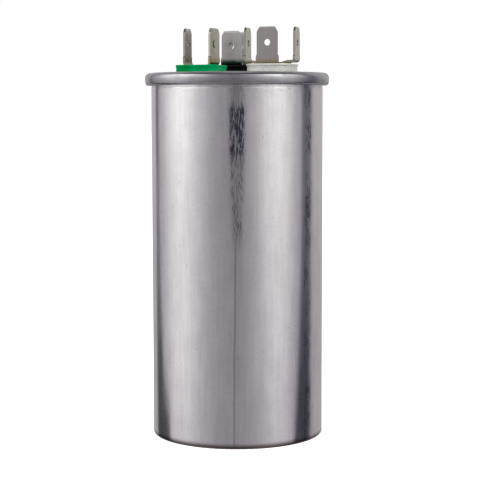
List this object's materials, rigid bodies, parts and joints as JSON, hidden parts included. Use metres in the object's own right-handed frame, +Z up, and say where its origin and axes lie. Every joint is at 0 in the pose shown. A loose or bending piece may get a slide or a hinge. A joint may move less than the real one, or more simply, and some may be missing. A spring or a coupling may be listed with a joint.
{
  "type": "motor run capacitor",
  "caption": "Round motor run capacitor: drawn aluminium can with a rolled seam, and a lid whose coloured insulators carry upright push-on tabs.",
  "frame": {"origin": "centre of the base, on the surface the can stands on", "axes": "+Z up along the can's axis, towards the terminals; -Y is the side that the single wide tab of the white terminal faces"},
  "size_m": [0.0688, 0.0688, 0.1526],
  "materials": {
    "drawn_aluminium": "brushed",
    "lid_aluminium": "satin",
    "sealing_compound": "matte",
    "green_moulding": "glossy",
    "black_moulding": "glossy",
    "white_moulding": "glossy",
    "rubber_gasket": "matte",
    "inner_moulding": "matte",
    "tin_plated_brass": "satin",
    "tinned_copper": "satin",
    "core_plastic": "matte",
    "metallised_film": "satin",
    "separator_film": "satin",
    "sprayed_zinc": "rough",
    "insulating_wrap": "satin",
    "cup_plastic": "matte",
    "fibre_board": "matte"
  },
  "bodies": {
    "root": {"can": "drawn_aluminium", "lid": "lid_aluminium", "seam_compound": "sealing_compound", "green_tabs": "tin_plated_brass", "black_tabs": "tin_plated_brass", "white_side_tabs": "tin_plated_brass", "white_front_tab": "tin_plated_brass", "core_tube": "core_plastic", "inner_winding": "metallised_film", "winding_separator": "separator_film", "outer_winding": "metallised_film", "inner_end_spray": "sprayed_zinc", "outer_end_spray": "sprayed_zinc", "bottom_end_spray": "sprayed_zinc", "green_lead": "tinned_copper", "black_lead": "tinned_copper", "common_lead": "tinned_copper", "common_lead_sleeve": "separator_film", "interrupter_disc": "fibre_board", "wrap_sleeve": "insulating_wrap", "bottom_cup": "cup_plastic", "green_insulator": "green_moulding", "green_gasket": "rubber_gasket", "green_inner_washer": "inner_moulding", "green_rivet": "tin_plated_brass", "black_insulator": "black_moulding", "black_gasket": "rubber_gasket", "black_inner_washer": "inner_moulding", "black_rivet": "tin_plated_brass", "white_insulator": "white_moulding", "white_gasket": "rubber_gasket", "white_inner_washer": "inner_moulding", "white_rivet": "tin_plated_brass"}
  },
  "joints": []
}
